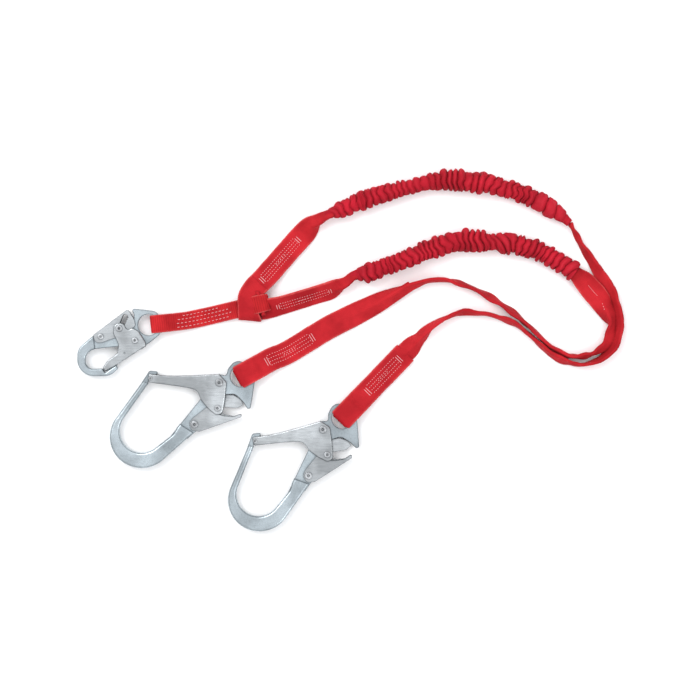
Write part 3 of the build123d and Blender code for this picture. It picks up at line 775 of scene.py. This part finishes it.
packed_core("leg_a_tear_webbing", COVER_A_ROUTE, CORE_RED, "leg_a_core")
packed_core("leg_b_tear_webbing", COVER_B_ROUTE, CORE_RED, "leg_b_core")
gathered_cover(
    "leg_a_gathered_cover", COVER_A_ROUTE, 3.0, COVER_A_RADIUS, COVER_A_PITCH, COVER_A_SKEW,
    COVER_RED, ["leg_a_cover"],
)
gathered_cover(
    "leg_b_gathered_cover", COVER_B_ROUTE, 5.0, COVER_B_RADIUS, COVER_B_PITCH, COVER_B_SKEW,
    COVER_RED, ["leg_b_cover"],
)

SNAP, HOOK_A, HOOK_B = Flex("snap_strap_flex"), Flex("hook_a_strap_flex"), Flex("hook_b_strap_flex")

# The tether, from the snap hook to the hitch where the legs part.
RIBS = cross_ribs(3.2 * MM, 0.6 * MM)
# Rows of stitches: mm across, then metres along at the start and the end.
TETHER_ROWS = ((8.2, 0.020, 0.078), (3.0, 0.012, 0.094), (-2.6, 0.010, 0.096), (-8.4, 0.010, 0.092))
TETHER_SEAMS = []
for v, first, last in TETHER_ROWS:
    TETHER_SEAMS += dashes((first, v * MM), (last, (v + 0.6) * MM), 3.6 * MM, 2.2 * MM)
strap(
    "tether_ribbed_strap",
    [
        (*SNAP.beyond(-3.5), 27, 0, 0), (*SNAP.beyond(0), 27, 0, 0), (-212, 45, 6.4, 27, 0, 0),
        (-190, 49.5, 3.8, 27, 2, 0), (-168, 54.5, 4.2, 27, 3, 0), (-138, 61.5, 8.2, 27, 0, 0),
        (-116, 66.5, 10, 27, 0, 0),
    ],
    TETHER_RED, THREAD, "webbing", ["tether_strap"], seams=TETHER_SEAMS,
    relief=RIBS, bend=SNAP.bend("snap_loop"), seed=4, step=0.8,
)
eye_loop("tether_snap_bend", SNAP, 3.5, 3.0, 27, 27, TETHER_RED, "snap_loop",
         "tether_hook_loop", relief=cross_ribs(3.2 * MM, 0.3 * MM))
strap(
    "tether_end_bend",
    [
        (-119, 65.8, 11.5, 27, 0, 0, -0.23, 0.973), (-113, 67.3, 15.8, 27.5, 0, 0, -0.23, 0.973),
        (-106, 69, 18.2, 27.5, 0, 0, -0.23, 0.973), (-99, 70.6, 18.0, 27, 0, 0, -0.23, 0.973),
        (-93, 72, 15.2, 26, 0, 0, -0.23, 0.973), (-90.2, 72.7, 10.5, 26, 0, 0, -0.23, 0.973),
        (-92.5, 72.1, 5.2, 26, 0, 0, -0.23, 0.973), (-99, 70.6, 2.6, 26, 0, 0, -0.23, 0.973),
        (-110, 68, 2.4, 26, 0, 0, -0.23, 0.973),
    ],
    TETHER_RED, THREAD, "webbing", ["tether_end_loop"], side=True,
    relief=cross_ribs(3.0 * MM, 0.7 * MM), thick=2.8, seed=6, step=0.7,
)

# The leg webbing over the tether and through its end loop.
strap(
    "hitch_band",
    [
        (-103, 102, 12.6, 33, 0, 0, 0.72, -0.69), (-111, 93, 14.6, 34, 0, 0, 0.74, -0.67),
        (-119, 80, 16.4, 33, 4, 0, 0.88, -0.47), (-121, 66, 16.6, 29, 4, 0, 0.98, -0.15),
        (-119.5, 53, 14.2, 32, 2, 0, 1, -0.05), (-118, 47, 9.6, 35, 0, 0, 1, -0.1),
        (-117.5, 46, 5.4, 35, 0, 0, 1, -0.1), (-117.5, 49.5, 2.4, 33, 0, 0, 1, -0.1),
        (-117, 60, 1.9, 30, 0, 0, 1, -0.1),
    ],
    LEG_RED, THREAD, "webbing", ["hitch_wrap"], side=True, thick=3.0, seed=8, step=1.0,
)
strap(
    "hitch_bight_webbing",
    [
        (-97, 52, 10.5, 30, 0, 150), (-99.5, 61, 10.5, 30, 12, 165), (-101.5, 70, 10.5, 30, -8, 172),
        (-104, 80, 11, 30, 10, 165), (-106.5, 89, 12, 31, 0, 120),
    ],
    LEG_RED, THREAD, "webbing", ["hitch_bight"], thick=2.4, seed=9,
)

# Leg A, from the hitch to its cover and from its free webbing to the hook.
strap(
    "leg_a_sewn_start",
    [
        (-110, 94.5, 12.6, 34, 0, 0), (-93, 112, 8, 35, 0, 0), (-66, 143, 4.4, 35, 0, 0),
        (-42, 170, 4, 35, 0, 0), (-26, 186, 6, 35, 24, 50), (-14, 195.5, 10, 33, 52, 120),
        (-4, 202, 13, 30, 40, 160), (8, 207, 14, 28, 40, 165),
    ],
    LEG_RED, THREAD, "webbing", ["leg_a_start"], seed=11,
    seams=lambda length: bar_tack_box(14 * MM, 99 * MM, 6.8 * MM),
)
strap(
    "leg_a_sewn_end",
    [
        (116.6, -3.4, 5.4, 35, 0, 0), (94, -27, 4.4, 35, 0, 0), (72, -49.7, 4.2, 35, 0, 0),
        (*HOOK_A.beyond(18, 3.4), 35, 0, 0), (*HOOK_A.beyond(0), 35.5, 0, 0),
        (*HOOK_A.beyond(-3.5), 35.5, 0, 0),
    ],
    LEG_RED, THREAD, "webbing", ["leg_a_end"], bend=HOOK_A.bend("hook_a_loop"), seed=12,
    seams=lambda length: bar_tack_box(12 * MM, 84 * MM, 7.8 * MM),
)
eye_loop("leg_a_eye_bend", HOOK_A, 4.0, -7.5, 35.5, 27.5, LEG_RED, "hook_a_loop",
         "leg_a_hook_loop")

# Leg B, the same way.
strap(
    "leg_b_sewn_start",
    [
        (-103, 60, 4.6, 30, 0, 0), (-88, 63.4, 7, 32, 22, 0), (-66, 68.8, 9, 34, 38, 0),
        (-20, 82.8, 9.5, 35, 42, 0), (3, 90, 10, 35, 42, 0), (16, 95, 10.5, 34, 48, 60),
        (27, 102.5, 12, 31, 44, 150), (38, 112, 14, 28, 40, 165), (46, 114.5, 14, 27, 40, 168),
    ],
    LEG_RED, THREAD, "webbing", ["leg_b_start"], seed=14,
    seams=lambda length: bar_tack_box(27 * MM, 112 * MM, 5.0 * MM, 3),
)
strap(
    "leg_b_sewn_end",
    [
        (124, 97.5, 6, 34, 30, 155), (110, 90.5, 6, 34, 20, 128), (90, 80, 5, 34, 8, 90),
        (66, 67, 4, 34.5, 0, 50), (30, 49, 3.4, 35, 0, 14), (-3, 32, 3, 35, 0, 0), (-59, -2, 3.2, 35, 0, 0),
        (*HOOK_B.beyond(18, 3.4), 35, 0, 0), (*HOOK_B.beyond(0), 35.5, 0, 0),
        (*HOOK_B.beyond(-3.5), 35.5, 0, 0),
    ],
    LEG_RED, THREAD, "webbing", ["leg_b_end"], bend=HOOK_B.bend("hook_b_loop"), seed=15,
    seams=lambda length: bar_tack_box(length - 92 * MM, length - 11 * MM, 7.8 * MM),
)
eye_loop("leg_b_eye_bend", HOOK_B, 4.0, -7.5, 35.5, 27.5, LEG_RED, "hook_b_loop",
         "leg_b_hook_loop")

# The steel parts keep their CAD shape.
FORGED = steel_material(
    "forged_zinc_steel", (0.52, 0.59, 0.63, 1), (0.05, 0.06, 0.07, 1), 0.28, 17, (1, 1, 1), 1.9 * MM,
)
SHEET = steel_material(
    "sheet_zinc_steel", (0.59, 0.62, 0.64, 1), (0.05, 0.06, 0.07, 1), 0.24, 20, (0.15, 1, 1), 1.0 * MM,
)
RIVET = steel_material(
    "rivet_steel", (0.60, 0.62, 0.64, 1), (0.05, 0.055, 0.06, 1), 0.28, 120, (1, 1, 1), 0.6 * MM,
)
SPRING = steel_material(
    "spring_steel", (0.55, 0.56, 0.58, 1), (0.12, 0.12, 0.14, 1), 0.25, 200, (1, 1, 1), 0.2 * MM,
)
FINISHES = (
    ("_body", FORGED), ("_gate", SHEET), ("_lock_lever", SHEET), ("_rivet", RIVET), ("_pin", RIVET),
    ("_spring", SPRING),
)
for node_name, node in frame["nodes"].items():
    for ending, metal in FINISHES:
        if node_name.endswith(ending):
            if not node.material_slots:
                node.data.materials.append(metal)
            for slot in node.material_slots:
                slot.link = "OBJECT"
                slot.material = metal
